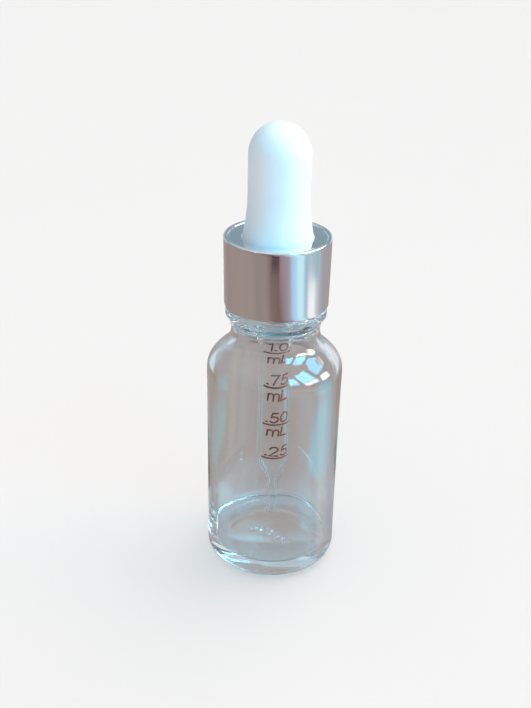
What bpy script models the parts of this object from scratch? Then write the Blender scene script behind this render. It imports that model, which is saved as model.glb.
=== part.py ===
"""Dropper bottle: a clear glass bottle closed by a screw-on medicine dropper.

Every size is in millimetres and is scaled to metres as the meshes are made. The origin is the
centre of the bottle's foot, +Z runs up the common axis of every piece, and the printed scale on
the pipette faces -Y, turned 10 degrees towards +X. Joint axes: lift_out and cap_rise slide along
+Z, cap_turn turns about +Z, and the two bulb presses slide along Y.
"""
import math

import bmesh
import bpy

MM = 0.001

# ---- driving sizes: bottle -------------------------------------------------------------------
BODY_RADIUS = 14.25
GLASS_WALL = 1.6
FLOOR_HEIGHT = 4.4
HEEL_WIDTH = 3.6
HEEL_HEIGHT = 2.7
FOOT_RING_WIDTH = 1.1
PUSH_UP = 0.9
INNER_HEEL_RADIUS = 1.8
SHOULDER_START = 46.2
SHOULDER_ANGLE = math.radians(48)
SHOULDER_RADIUS = 4.2
WAIST_RADIUS = 9.12
WAIST_CURVE = 5.2
BEAD_RADIUS = 10.35
BEAD_HEIGHT = 1.7
BEAD_ROUNDING = 0.55
NECK_RADIUS = 7.85
NECK_HEIGHT = 12.0
NECK_BORE = 5.1
LIP_ROUNDING = 0.6

# ---- driving sizes: screw thread -------------------------------------------------------------
THREAD_PITCH = 3.0
THREAD_HEIGHT = 0.7
THREAD_ROOT_WIDTH = 1.7
THREAD_CREST_WIDTH = 0.8
THREAD_FADE = math.radians(40)
THREAD_BURIED = 0.35
BOTTLE_THREAD_TURNS = 1.5
CAP_THREAD_TURNS = 1.25
THREAD_BELOW_LIP = 2.2

# ---- driving sizes: cap, collar shell and teat -------------------------------------------------
CAP_WALL = 0.75
CAP_DECK = 0.95
CAP_THREAD_HEIGHT = 0.55
RIB_HEIGHT = 0.15
RIB_SPACING = 4
SHELL_WALL = 0.35
SHELL_TAPER = 0.12
SHELL_RIM_WIDTH = 1.0
SHELL_RIM_HEIGHT = 0.3
SHELL_HEM = 0.18
TEAT_FLANGE = 0.9
TEAT_FLANGE_RADIUS = 8.3
TEAT_FOOT_RADIUS = 7.0
TEAT_FLARE_HEIGHT = 8.7
TEAT_RADIUS = 6.05
TEAT_HEIGHT = 22.0
TEAT_DOME = 6.1
TEAT_WALL = 1.4
PLUG_LENGTH = 4.9
PLUG_CHAMFER = 0.5
PRESS_HALF_WIDTH = 3.3
PRESS_BOTTOM = 5.0
PRESS_TOP = 16.4
PRESS_CORNER = 1.6

# ---- driving sizes: pipette and its scale -----------------------------------------------------
PIPETTE_RADIUS = 3.4
PIPETTE_WALL = 0.6
PIPETTE_IN_TEAT = 5.0
PIPETTE_ROUNDING = 0.2
TIP_ABOVE_FLOOR = 4.8
TIP_RADIUS = 1.25
TIP_BORE = 0.55
TIP_LENGTH = 6.5
TAPER_LENGTH = 9.0
SCALE_TOP_BELOW_LIP = 21.5
SCALE_STEP = 8.43
SCALE_LINES = ("100", "075", "050", "025")
SCALE_HALF_ANGLE = math.radians(51)
SCALE_TURN = math.radians(10)
SCALE_LINE_WIDTH = 0.34
SCALE_THICKNESS = 0.08

# ---- clearances ------------------------------------------------------------------------------
THREAD_GAP = 0.13
CLAMP_GAP = 0.12
SHELL_GAP = 0.13
HOLE_GAP = 0.15
PLUG_GAP = 0.15
SOCKET_GAP = 0.1
CAP_OVER_BEAD = 0.8
SHELL_OVER_BEAD = 0.45
PRESS_GAP = 0.15
INK_GAP = 0.04

# ---- how finely curves are cut -----------------------------------------------------------------
SEGMENTS = 48
TEAT_SEGMENTS = 36
PIPETTE_SEGMENTS = 24
ARC_STEPS = 4
DOME_STEPS = 7
TAPER_STEPS = 6
THREAD_STEPS_PER_TURN = 24
LINE_STEPS = 10

# ---- heights and radii that follow from the driving sizes --------------------------------------
INNER_RADIUS = BODY_RADIUS - GLASS_WALL
SHOULDER_RUN = (BODY_RADIUS - WAIST_RADIUS
                - (SHOULDER_RADIUS + WAIST_CURVE) * (1 - math.cos(SHOULDER_ANGLE)))
SHOULDER_STRAIGHT = SHOULDER_RUN / math.sin(SHOULDER_ANGLE)
WAIST_HEIGHT = (SHOULDER_START + (SHOULDER_RADIUS + WAIST_CURVE) * math.sin(SHOULDER_ANGLE)
                + SHOULDER_STRAIGHT * math.cos(SHOULDER_ANGLE))
BEAD_CURVE_RISE = math.sqrt(WAIST_CURVE ** 2 - (WAIST_CURVE + WAIST_RADIUS - BEAD_RADIUS) ** 2)
BEAD_BOTTOM = WAIST_HEIGHT + BEAD_CURVE_RISE
BEAD_TOP = BEAD_BOTTOM + BEAD_HEIGHT
LIP = BEAD_TOP + NECK_HEIGHT
THREAD_CREST = NECK_RADIUS + THREAD_HEIGHT
BOTTLE_THREAD_START = LIP - THREAD_BELOW_LIP - BOTTLE_THREAD_TURNS * THREAD_PITCH

CAP_THREAD_CREST = THREAD_CREST + THREAD_GAP
CAP_BORE = CAP_THREAD_CREST + CAP_THREAD_HEIGHT
CAP_RADIUS = CAP_BORE + CAP_WALL
CAP_BOTTOM = BEAD_TOP + CAP_OVER_BEAD
FLANGE_BOTTOM = LIP + CLAMP_GAP
FLANGE_TOP = FLANGE_BOTTOM + TEAT_FLANGE
DECK_BOTTOM = FLANGE_TOP + CLAMP_GAP
DECK_TOP = DECK_BOTTOM + CAP_DECK
HOLE_RADIUS = TEAT_FOOT_RADIUS + HOLE_GAP

SHELL_INNER = CAP_RADIUS + RIB_HEIGHT + SHELL_GAP
SHELL_BOTTOM_RADIUS = SHELL_INNER + SHELL_WALL
SHELL_TOP_RADIUS = SHELL_BOTTOM_RADIUS + SHELL_TAPER
SHELL_BOTTOM = BEAD_TOP + SHELL_OVER_BEAD
SHELL_UNDERSIDE = DECK_TOP + CLAMP_GAP
SHELL_TOP = SHELL_UNDERSIDE + SHELL_WALL
RIM_TOP = SHELL_TOP + SHELL_RIM_HEIGHT

TEAT_TOP = RIM_TOP + TEAT_HEIGHT
DOME_START = TEAT_TOP - TEAT_DOME
PLUG_RADIUS = NECK_BORE - PLUG_GAP
PLUG_BOTTOM = LIP - PLUG_LENGTH
SOCKET_RADIUS = PIPETTE_RADIUS + SOCKET_GAP
SOCKET_TOP = LIP + PIPETTE_IN_TEAT + SOCKET_GAP
PRESS_LOW = RIM_TOP + PRESS_BOTTOM
PRESS_HIGH = RIM_TOP + PRESS_TOP

PIPETTE_TOP = LIP + PIPETTE_IN_TEAT
PIPETTE_BORE = PIPETTE_RADIUS - PIPETTE_WALL
TIP_BOTTOM = FLOOR_HEIGHT + TIP_ABOVE_FLOOR
TAPER_START = TIP_BOTTOM + TIP_LENGTH
TAPER_END = TAPER_START + TAPER_LENGTH
SCALE_TOP = LIP - SCALE_TOP_BELOW_LIP


def arc(centre_r, centre_z, radius_r, radius_z, start_deg, end_deg, steps):
    """Points of an elliptical arc in the (radius, height) plane, both ends included."""
    points = []
    for step in range(steps + 1):
        angle = math.radians(start_deg + (end_deg - start_deg) * step / steps)
        points.append((centre_r + radius_r * math.cos(angle), centre_z + radius_z * math.sin(angle)))
    return points


def eased(start, end, steps):
    """Points of a smooth S that leaves start and reaches end along the axis."""
    points = []
    for step in range(steps + 1):
        share = step / steps
        blend = 0.5 - 0.5 * math.cos(math.pi * share)
        radius = start[0] + (end[0] - start[0]) * blend
        height = start[1] + (end[1] - start[1]) * share
        points.append((radius, height))
    return points


def clean(outline):
    """Drop points that repeat the one before them."""
    kept = []
    for point in outline:
        if not kept or math.dist(point, kept[-1]) > 1e-6:
            kept.append(point)
    return kept


def add_object(name, mesh, material, parent):
    """Link a mesh as a smooth-shaded object whose origin is on the common axis."""
    mesh.materials.append(material)
    mesh.shade_smooth()
    mesh.set_sharp_from_angle(angle=math.radians(35))
    obj = bpy.data.objects.new(name, mesh)
    bpy.context.collection.objects.link(obj)
    obj.parent = parent
    return obj


def turned_mesh(name, outline, segments=SEGMENTS, rib_points=()):
    """Revolve a closed outline of (radius, height) points about the Z axis.

    The points whose index is in rib_points stand out by RIB_HEIGHT at every rib.
    """
    shape = bmesh.new()
    rings = []
    for index, (radius, level) in enumerate(outline):
        z = level * MM
        if radius < 1e-6:
            rings.append([shape.verts.new((0, 0, z))])
            continue
        ring = []
        for step in range(segments):
            angle = 2 * math.pi * step / segments
            ribbed = index in rib_points and step % RIB_SPACING == 0
            reach = (radius + (RIB_HEIGHT if ribbed else 0)) * MM
            ring.append(shape.verts.new((reach * math.cos(angle), reach * math.sin(angle), z)))
        rings.append(ring)
    for index, ring in enumerate(rings):
        following = rings[(index + 1) % len(rings)]
        if len(ring) == 1 and len(following) == 1:
            continue
        for step in range(segments):
            turn = (step + 1) % segments
            if len(ring) == 1:
                corners = (ring[0], following[turn], following[step])
            elif len(following) == 1:
                corners = (ring[step], ring[turn], following[0])
            else:
                corners = (ring[step], ring[turn], following[turn], following[step])
            shape.faces.new(corners)
    bmesh.ops.recalc_face_normals(shape, faces=shape.faces)
    mesh = bpy.data.meshes.new(name)
    shape.to_mesh(mesh)
    shape.free()
    return mesh


def thread_mesh(name, wall_radius, height, start_z, turns, outward):
    """A helical ridge, buried in its wall at the root and fading into it at both ends."""
    direction = 1 if outward else -1
    steps = round(THREAD_STEPS_PER_TURN * turns)
    shape = bmesh.new()
    sections = []
    for step in range(steps + 1):
        angle = 2 * math.pi * turns * step / steps
        to_end = min(angle, 2 * math.pi * turns - angle)
        growth = min(1.0, to_end / THREAD_FADE)
        crest = wall_radius + direction * (height * growth - 0.1 * (1 - growth))
        root = wall_radius - direction * THREAD_BURIED
        z = start_z + THREAD_PITCH * angle / (2 * math.pi)
        section = []
        for radius, offset in (
                (root, -THREAD_ROOT_WIDTH / 2), (crest, -THREAD_CREST_WIDTH / 2),
                (crest, THREAD_CREST_WIDTH / 2), (root, THREAD_ROOT_WIDTH / 2)):
            place = (radius * math.cos(angle) * MM, radius * math.sin(angle) * MM, (z + offset) * MM)
            section.append(shape.verts.new(place))
        sections.append(section)
    for near, far in zip(sections, sections[1:]):
        for side in range(4):
            after = (side + 1) % 4
            shape.faces.new((near[side], near[after], far[after], far[side]))
    shape.faces.new(sections[0])
    shape.faces.new(sections[-1])
    bmesh.ops.recalc_face_normals(shape, faces=shape.faces)
    mesh = bpy.data.meshes.new(name)
    shape.to_mesh(mesh)
    shape.free()
    return mesh


def press_prism_mesh(name, clearance, front):
    """A rounded block that passes through one side of the bulb along Y."""
    half_width = PRESS_HALF_WIDTH - clearance
    low, high = PRESS_LOW + clearance, PRESS_HIGH - clearance
    corner = PRESS_CORNER - clearance
    outline = []
    for centre_x, centre_z, start in (
            (half_width - corner, low + corner, -90), (half_width - corner, high - corner, 0),
            (corner - half_width, high - corner, 90), (corner - half_width, low + corner, 180)):
        outline += arc(centre_x, centre_z, corner, corner, start, start + 90, ARC_STEPS)
    reach = 2 * TEAT_RADIUS * (-1 if front else 1)
    shape = bmesh.new()
    inner = [shape.verts.new((x * MM, 0, z * MM)) for x, z in outline]
    outer = [shape.verts.new((x * MM, reach * MM, z * MM)) for x, z in outline]
    shape.faces.new(inner)
    shape.faces.new(outer)
    for index in range(len(outline)):
        after = (index + 1) % len(outline)
        shape.faces.new((inner[index], inner[after], outer[after], outer[index]))
    bmesh.ops.recalc_face_normals(shape, faces=shape.faces)
    mesh = bpy.data.meshes.new(name)
    shape.to_mesh(mesh)
    shape.free()
    return mesh


def boolean(target, tool_mesh, operation):
    """Combine a target with a hidden tool object, and keep the modifier on the target."""
    tool = bpy.data.objects.new(tool_mesh.name, tool_mesh)
    bpy.context.collection.objects.link(tool)
    tool.display_type = 'WIRE'
    tool.hide_render = True
    tool.parent = target.parent
    modifier = target.modifiers.new(tool_mesh.name, 'BOOLEAN')
    modifier.operation = operation
    modifier.solver = 'EXACT'
    modifier.object = tool


def principled(name, colour, roughness, metallic=0.0, transmission=0.0):
    """A plain Principled BSDF material."""
    material = bpy.data.materials.new(name)
    material.use_nodes = True
    shader = material.node_tree.nodes["Principled BSDF"]
    shader.inputs["Base Color"].default_value = (*colour, 1.0)
    shader.inputs["Roughness"].default_value = roughness
    shader.inputs["Metallic"].default_value = metallic
    shader.inputs["Transmission Weight"].default_value = transmission
    return material


def shoulder_outline(inset):
    """The shoulder from the body wall up to the waist, moved into the glass by inset."""
    degrees = math.degrees(SHOULDER_ANGLE)
    crown = arc(BODY_RADIUS - SHOULDER_RADIUS, SHOULDER_START, SHOULDER_RADIUS - inset,
                SHOULDER_RADIUS - inset, 0, degrees, ARC_STEPS)
    hollow = arc(WAIST_RADIUS + WAIST_CURVE, WAIST_HEIGHT, WAIST_CURVE + inset,
                 WAIST_CURVE + inset, 180 + degrees, 180, ARC_STEPS)
    return crown + hollow


def bottle_outline():
    """The glass section, from the middle of the foot round the outside to the floor."""
    foot_outer = BODY_RADIUS - HEEL_WIDTH
    foot_inner = foot_outer - FOOT_RING_WIDTH
    foot = [(foot_inner * step / ARC_STEPS, PUSH_UP * (1 - (step / ARC_STEPS) ** 2))
            for step in range(ARC_STEPS + 1)]
    heel = arc(foot_outer, HEEL_HEIGHT, HEEL_WIDTH, HEEL_HEIGHT, -90, 0, ARC_STEPS)
    bead_start = 180 - math.degrees(math.asin(BEAD_CURVE_RISE / WAIST_CURVE))
    under_bead = arc(WAIST_RADIUS + WAIST_CURVE, WAIST_HEIGHT, WAIST_CURVE, WAIST_CURVE,
                     180, bead_start, ARC_STEPS)
    bead = arc(BEAD_RADIUS - BEAD_ROUNDING, BEAD_TOP - BEAD_ROUNDING, BEAD_ROUNDING, BEAD_ROUNDING,
               0, 90, ARC_STEPS)
    lip_centre = LIP - LIP_ROUNDING
    lip = arc(NECK_RADIUS - LIP_ROUNDING, lip_centre, LIP_ROUNDING, LIP_ROUNDING, 0, 90, ARC_STEPS)
    mouth = arc(NECK_BORE + LIP_ROUNDING, lip_centre, LIP_ROUNDING, LIP_ROUNDING, 90, 180, ARC_STEPS)
    throat = eased((NECK_BORE, BEAD_TOP), (WAIST_RADIUS - GLASS_WALL, WAIST_HEIGHT), ARC_STEPS)
    inner_shoulder = list(reversed(shoulder_outline(GLASS_WALL)))
    inner_heel = arc(INNER_RADIUS - INNER_HEEL_RADIUS, FLOOR_HEIGHT + INNER_HEEL_RADIUS,
                     INNER_HEEL_RADIUS, INNER_HEEL_RADIUS, 0, -90, ARC_STEPS)
    outline = foot + heel + shoulder_outline(0) + under_bead + bead
    outline += [(NECK_RADIUS, BEAD_TOP)] + lip + mouth + throat
    outline += inner_shoulder + inner_heel + [(0, FLOOR_HEIGHT)]
    return clean(outline)


def cap_outline():
    """The threaded liner's section, and the indices of the points that carry its ribs."""
    outline = [
        (CAP_BORE, CAP_BOTTOM), (CAP_RADIUS, CAP_BOTTOM),
        (CAP_RADIUS, CAP_BOTTOM + SHELL_HEM), (CAP_RADIUS, DECK_TOP - CAP_DECK),
        (CAP_RADIUS - SHELL_HEM, DECK_TOP), (HOLE_RADIUS, DECK_TOP),
        (HOLE_RADIUS, DECK_BOTTOM), (CAP_BORE, DECK_BOTTOM)]
    return outline, (2, 3)


def shell_outline():
    """The drawn aluminium collar: hemmed foot, tapered side, rolled rim and flat pierced top."""
    rim_centre = SHELL_TOP_RADIUS - SHELL_RIM_WIDTH / 2
    rim = arc(rim_centre, SHELL_TOP, SHELL_RIM_WIDTH / 2, SHELL_RIM_HEIGHT, 0, 180, 2 * ARC_STEPS)
    foot = arc(SHELL_BOTTOM_RADIUS - SHELL_HEM, SHELL_BOTTOM + SHELL_HEM, SHELL_HEM, SHELL_HEM,
               -90, 0, ARC_STEPS)
    outline = [(SHELL_INNER, SHELL_BOTTOM)] + foot + rim
    outline += [(HOLE_RADIUS, SHELL_TOP), (HOLE_RADIUS, SHELL_UNDERSIDE)]
    outline += [(SHELL_INNER, SHELL_UNDERSIDE)]
    return clean(outline)


def teat_radius(level):
    """Outside radius of the rubber teat at a height between the flange and the dome."""
    share = max(0.0, 1 - (level - RIM_TOP) / TEAT_FLARE_HEIGHT)
    return TEAT_RADIUS + (TEAT_FOOT_RADIUS - TEAT_RADIUS) * min(1.0, share) ** 2


def teat_outline():
    """The rubber teat's section: plug, flange, flared foot, thin wall and dome."""
    flare_levels = [RIM_TOP + TEAT_FLARE_HEIGHT * step / ARC_STEPS for step in range(ARC_STEPS + 1)]
    side = [(teat_radius(level), level) for level in flare_levels]
    dome = arc(0, DOME_START, TEAT_RADIUS, TEAT_DOME, 0, 90, DOME_STEPS)
    cavity_radius = TEAT_RADIUS - TEAT_WALL
    inner_dome = arc(0, DOME_START, cavity_radius, TEAT_DOME - TEAT_WALL, 90, 0, DOME_STEPS)
    outline = [
        (SOCKET_RADIUS, PLUG_BOTTOM), (PLUG_RADIUS - PLUG_CHAMFER, PLUG_BOTTOM),
        (PLUG_RADIUS, PLUG_BOTTOM + PLUG_CHAMFER), (PLUG_RADIUS, FLANGE_BOTTOM),
        (TEAT_FLANGE_RADIUS, FLANGE_BOTTOM), (TEAT_FLANGE_RADIUS, FLANGE_TOP),
        (TEAT_FOOT_RADIUS, FLANGE_TOP)]
    outline += side + dome + inner_dome
    outline += [(cavity_radius, SOCKET_TOP + 1.0), (SOCKET_RADIUS, SOCKET_TOP)]
    return clean(outline)


def pipette_outline():
    """The glass tube: fire-polished head, straight barrel, long taper and straight tip."""
    wall_centre = PIPETTE_RADIUS - PIPETTE_ROUNDING
    head = arc(wall_centre, PIPETTE_TOP - PIPETTE_ROUNDING, PIPETTE_ROUNDING, PIPETTE_ROUNDING,
               0, 90, 3)
    outline = [(TIP_BORE, TIP_BOTTOM), (TIP_RADIUS - PIPETTE_ROUNDING, TIP_BOTTOM)]
    outline += [(TIP_RADIUS, TIP_BOTTOM + PIPETTE_ROUNDING)]
    outline += eased((TIP_RADIUS, TAPER_START), (PIPETTE_RADIUS, TAPER_END), TAPER_STEPS)
    outline += head + [(PIPETTE_BORE, PIPETTE_TOP)]
    outline += reversed(eased((TIP_BORE, TAPER_START), (PIPETTE_BORE, TAPER_END), TAPER_STEPS))
    return clean(outline)


def scale_line_mesh(name, level):
    """One printed graduation: a thin band bent round the front of the pipette."""
    inner = PIPETTE_RADIUS + INK_GAP
    outer = inner + SCALE_THICKNESS
    shape = bmesh.new()
    sections = []
    for step in range(LINE_STEPS + 1):
        angle = -math.pi / 2 + SCALE_TURN + SCALE_HALF_ANGLE * (2 * step / LINE_STEPS - 1)
        section = []
        for radius, offset in ((inner, -0.5), (outer, -0.5), (outer, 0.5), (inner, 0.5)):
            z = (level + offset * SCALE_LINE_WIDTH) * MM
            reach = radius * MM
            section.append(shape.verts.new((reach * math.cos(angle), reach * math.sin(angle), z)))
        sections.append(section)
    for near, far in zip(sections, sections[1:]):
        for side in range(4):
            after = (side + 1) % 4
            shape.faces.new((near[side], near[after], far[after], far[side]))
    shape.faces.new(sections[0])
    shape.faces.new(sections[-1])
    bmesh.ops.recalc_face_normals(shape, faces=shape.faces)
    mesh = bpy.data.meshes.new(name)
    shape.to_mesh(mesh)
    shape.free()
    return mesh


def build_bottle(material, parent):
    """The bottle, with its thread ridge joined to the neck."""
    mesh = turned_mesh("glass_bottle", bottle_outline())
    bottle = add_object("glass_bottle", mesh, material, parent)
    ridge = thread_mesh("bottle_thread_tool", NECK_RADIUS, THREAD_HEIGHT, BOTTLE_THREAD_START,
                        BOTTLE_THREAD_TURNS, outward=True)
    boolean(bottle, ridge, 'UNION')


def build_cap(material, parent):
    """The threaded liner: its ridge runs half a pitch below the bottle's ridge."""
    outline, ribs = cap_outline()
    mesh = turned_mesh("screw_cap", outline, rib_points=ribs)
    cap = add_object("screw_cap", mesh, material, parent)
    ridge = thread_mesh("cap_thread_tool", CAP_BORE, CAP_THREAD_HEIGHT,
                        BOTTLE_THREAD_START - THREAD_PITCH / 2, CAP_THREAD_TURNS, outward=False)
    boolean(cap, ridge, 'UNION')


def build_teat(material, teat_frame, press_frames):
    """The rubber teat, and the two parts of its wall that the fingers press."""
    outline = teat_outline()
    mesh = turned_mesh("rubber_bulb", outline, TEAT_SEGMENTS)
    teat = add_object("rubber_bulb", mesh, material, teat_frame)
    for name, front in (("front", True), ("back", False)):
        boolean(teat, press_prism_mesh(name + "_window_tool", 0.0, front), 'DIFFERENCE')
        node = "bulb_" + name + "_wall"
        mesh = turned_mesh(node, outline, TEAT_SEGMENTS)
        wall = add_object(node, mesh, material, press_frames[name])
        boolean(wall, press_prism_mesh(name + "_wall_tool", PRESS_GAP, front), 'INTERSECT')


def main():
    for old in list(bpy.data.objects):
        bpy.data.objects.remove(old, do_unlink=True)

    glass = principled("clear_glass", (0.90, 0.93, 0.92), 0.03, transmission=1.0)
    ink = principled("brown_scale_ink", (0.20, 0.05, 0.025), 0.45)
    rubber = principled("white_rubber", (0.82, 0.88, 0.90), 0.42)
    aluminium = principled("bright_aluminium", (0.78, 0.76, 0.75), 0.12, metallic=1.0)
    liner = principled("natural_polypropylene", (0.80, 0.80, 0.78), 0.40)

    frames = {}
    for name, above in (("bottle", None), ("pipette", "bottle"), ("teat", "pipette"),
                        ("cap", "teat"), ("front", "teat"), ("back", "teat")):
        frames[name] = bpy.data.objects.new(name + "_frame", None)
        frames[name].parent = frames.get(above)
        bpy.context.collection.objects.link(frames[name])

    build_bottle(glass, frames["bottle"])
    mesh = turned_mesh("glass_pipette", pipette_outline(), PIPETTE_SEGMENTS)
    add_object("glass_pipette", mesh, glass, frames["pipette"])
    for index, label in enumerate(SCALE_LINES):
        node = "scale_line_" + label
        level = SCALE_TOP - index * SCALE_STEP
        add_object(node, scale_line_mesh(node, level), ink, frames["pipette"])
    build_teat(rubber, frames["teat"], frames)
    build_cap(liner, frames["cap"])
    add_object("collar_shell", turned_mesh("collar_shell", shell_outline()), aluminium,
               frames["cap"])


main()
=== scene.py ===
"""Looks for the dropper bottle: fine meshes, materials, studio light and camera.

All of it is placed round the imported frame.
"""
import math

import bmesh
import bpy
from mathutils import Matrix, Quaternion, Vector
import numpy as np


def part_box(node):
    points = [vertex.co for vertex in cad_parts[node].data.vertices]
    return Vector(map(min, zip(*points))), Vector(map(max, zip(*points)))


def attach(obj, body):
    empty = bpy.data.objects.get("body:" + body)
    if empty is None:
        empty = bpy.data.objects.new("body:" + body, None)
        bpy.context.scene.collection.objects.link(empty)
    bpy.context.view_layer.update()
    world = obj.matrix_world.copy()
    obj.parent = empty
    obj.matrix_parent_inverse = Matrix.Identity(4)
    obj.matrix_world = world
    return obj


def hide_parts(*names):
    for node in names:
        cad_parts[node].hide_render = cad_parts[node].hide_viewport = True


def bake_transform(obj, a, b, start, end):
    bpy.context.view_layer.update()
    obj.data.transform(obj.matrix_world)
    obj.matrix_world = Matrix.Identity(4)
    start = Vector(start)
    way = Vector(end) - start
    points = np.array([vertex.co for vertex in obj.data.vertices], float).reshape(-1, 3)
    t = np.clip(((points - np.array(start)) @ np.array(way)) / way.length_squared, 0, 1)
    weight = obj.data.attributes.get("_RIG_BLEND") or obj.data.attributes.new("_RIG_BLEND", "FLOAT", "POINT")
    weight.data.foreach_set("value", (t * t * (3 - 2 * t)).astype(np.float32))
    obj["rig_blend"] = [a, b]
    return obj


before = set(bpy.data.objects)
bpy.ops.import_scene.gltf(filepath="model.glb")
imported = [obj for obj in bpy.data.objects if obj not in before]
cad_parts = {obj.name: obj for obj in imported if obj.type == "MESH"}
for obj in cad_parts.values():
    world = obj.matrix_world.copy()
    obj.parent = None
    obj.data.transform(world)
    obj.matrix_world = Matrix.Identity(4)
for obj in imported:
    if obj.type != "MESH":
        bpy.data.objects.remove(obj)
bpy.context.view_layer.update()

MM = 0.001

# ---- sizes read from the frame -----------------------------------------------------------------
BOTTLE_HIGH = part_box("glass_bottle")[1]
SHELL_LOW, SHELL_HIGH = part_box("collar_shell")
BULB_LOW, BULB_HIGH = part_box("rubber_bulb")
PIPETTE_LOW, PIPETTE_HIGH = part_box("glass_pipette")
BODY_RADIUS = BOTTLE_HIGH.x
LIP = BOTTLE_HIGH.z
RIM_TOP = SHELL_HIGH.z
TEAT_TOP = BULB_HIGH.z
PIPETTE_RADIUS = PIPETTE_HIGH.x
PIPETTE_TOP = PIPETTE_HIGH.z
TIP_BOTTOM = PIPETTE_LOW.z

# ---- sizes repeated from the CAD, in metres ----------------------------------------------------
GLASS_WALL = 1.6 * MM
FLOOR_HEIGHT = 4.4 * MM
HEEL_WIDTH = 3.6 * MM
HEEL_HEIGHT = 2.7 * MM
FOOT_RING_WIDTH = 1.1 * MM
PUSH_UP = 0.9 * MM
INNER_HEEL_RADIUS = 0.8 * MM
SHOULDER_START = 46.2 * MM
SHOULDER_ANGLE = math.radians(48)
SHOULDER_RADIUS = 4.2 * MM
WAIST_RADIUS = 9.12 * MM
WAIST_CURVE = 5.2 * MM
BEAD_RADIUS = 10.35 * MM
BEAD_HEIGHT = 1.7 * MM
BEAD_ROUNDING = 0.55 * MM
NECK_RADIUS = 7.85 * MM
NECK_BORE = 5.1 * MM
LIP_ROUNDING = 0.6 * MM
THREAD_PITCH = 3.0 * MM
THREAD_HEIGHT = 0.7 * MM
THREAD_TURNS = 1.5
THREAD_BELOW_LIP = 2.2 * MM
THREAD_HALF_WIDTH = 0.85 * MM
THREAD_FADE = math.radians(40)
SHELL_WALL = 0.35 * MM
SHELL_TAPER = 0.12 * MM
SHELL_RIM_WIDTH = 1.0 * MM
SHELL_RIM_HEIGHT = 0.3 * MM
SHELL_HEM = 0.18 * MM
TEAT_WALL = 1.4 * MM
TEAT_FOOT_RADIUS = 7.0 * MM
TEAT_RADIUS = 6.05 * MM
TEAT_FLARE_HEIGHT = 8.7 * MM
TEAT_DOME = 6.1 * MM
TEAT_FLANGE = 0.9 * MM
TEAT_FLANGE_RADIUS = 8.3 * MM
CLAMP_GAP = 0.12 * MM
HOLE_GAP = 0.15 * MM
PLUG_RADIUS = NECK_BORE - 0.15 * MM
PLUG_CHAMFER = 0.5 * MM
SOCKET_RADIUS = PIPETTE_RADIUS + 0.1 * MM
PIPETTE_WALL = 0.6 * MM
TIP_RADIUS = 1.25 * MM
TIP_BORE = 0.55 * MM
TIP_LENGTH = 6.5 * MM
TAPER_LENGTH = 9.0 * MM
SCALE_HALF_ANGLE = math.radians(51)
SCALE_TURN = math.radians(10)

# ---- sizes of this script's own: small roundings and the unevenness of moulded glass
SHOULDER_SPREAD = 1.6 * MM
NECK_FOOT_ROUNDING = 0.4 * MM
FLOOR_RISE = 0.45 * MM
FLOOR_LEAN = 0.16 * MM
STIPPLE_DEPTH = 0.1 * MM
BASE_MARK_HEIGHT = 0.3 * MM
FIRE_POLISH = 0.26 * MM
HOLE_ROUNDING = 0.1 * MM
SHELL_CORNER = 0.3 * MM
FLANGE_ROUNDING = 0.2 * MM
PRINT_GAP = 0.012 * MM
PRINT_HEIGHT = 0.05 * MM


# ---- mesh helpers ------------------------------------------------------------------------------
def arc(centre_r, centre_z, radius_r, radius_z, start_deg, end_deg, steps):
    """Points of an elliptical arc in the (radius, height) plane, both ends included."""
    points = []
    for step in range(steps + 1):
        angle = math.radians(start_deg + (end_deg - start_deg) * step / steps)
        points.append((centre_r + radius_r * math.cos(angle),
                       centre_z + radius_z * math.sin(angle)))
    return points


def line(start, end, steps):
    """Evenly spaced points from start to end, both included."""
    return [(start[0] + (end[0] - start[0]) * step / steps,
             start[1] + (end[1] - start[1]) * step / steps)
            for step in range(steps + 1)]


def eased(start, end, steps):
    """Points of a smooth S that leaves start and reaches end along the axis."""
    points = []
    for step in range(steps + 1):
        share = step / steps
        blend = 0.5 - 0.5 * math.cos(math.pi * share)
        points.append((start[0] + (end[0] - start[0]) * blend,
                       start[1] + (end[1] - start[1]) * share))
    return points


def clean(outline, least=0.004 * MM):
    """Drop points that repeat the one before them, and a last one that repeats the first."""
    kept = []
    for point in outline:
        if not kept or math.dist(point, kept[-1]) > least:
            kept.append(point)
    if math.dist(kept[0], kept[-1]) < least:
        kept.pop()
    return kept


def smoothstep(low, high, value):
    """Zero up to low, one from high, with a smooth rise between."""
    share = min(1.0, max(0.0, (value - low) / (high - low)))
    return share * share * (3 - 2 * share)


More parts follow.
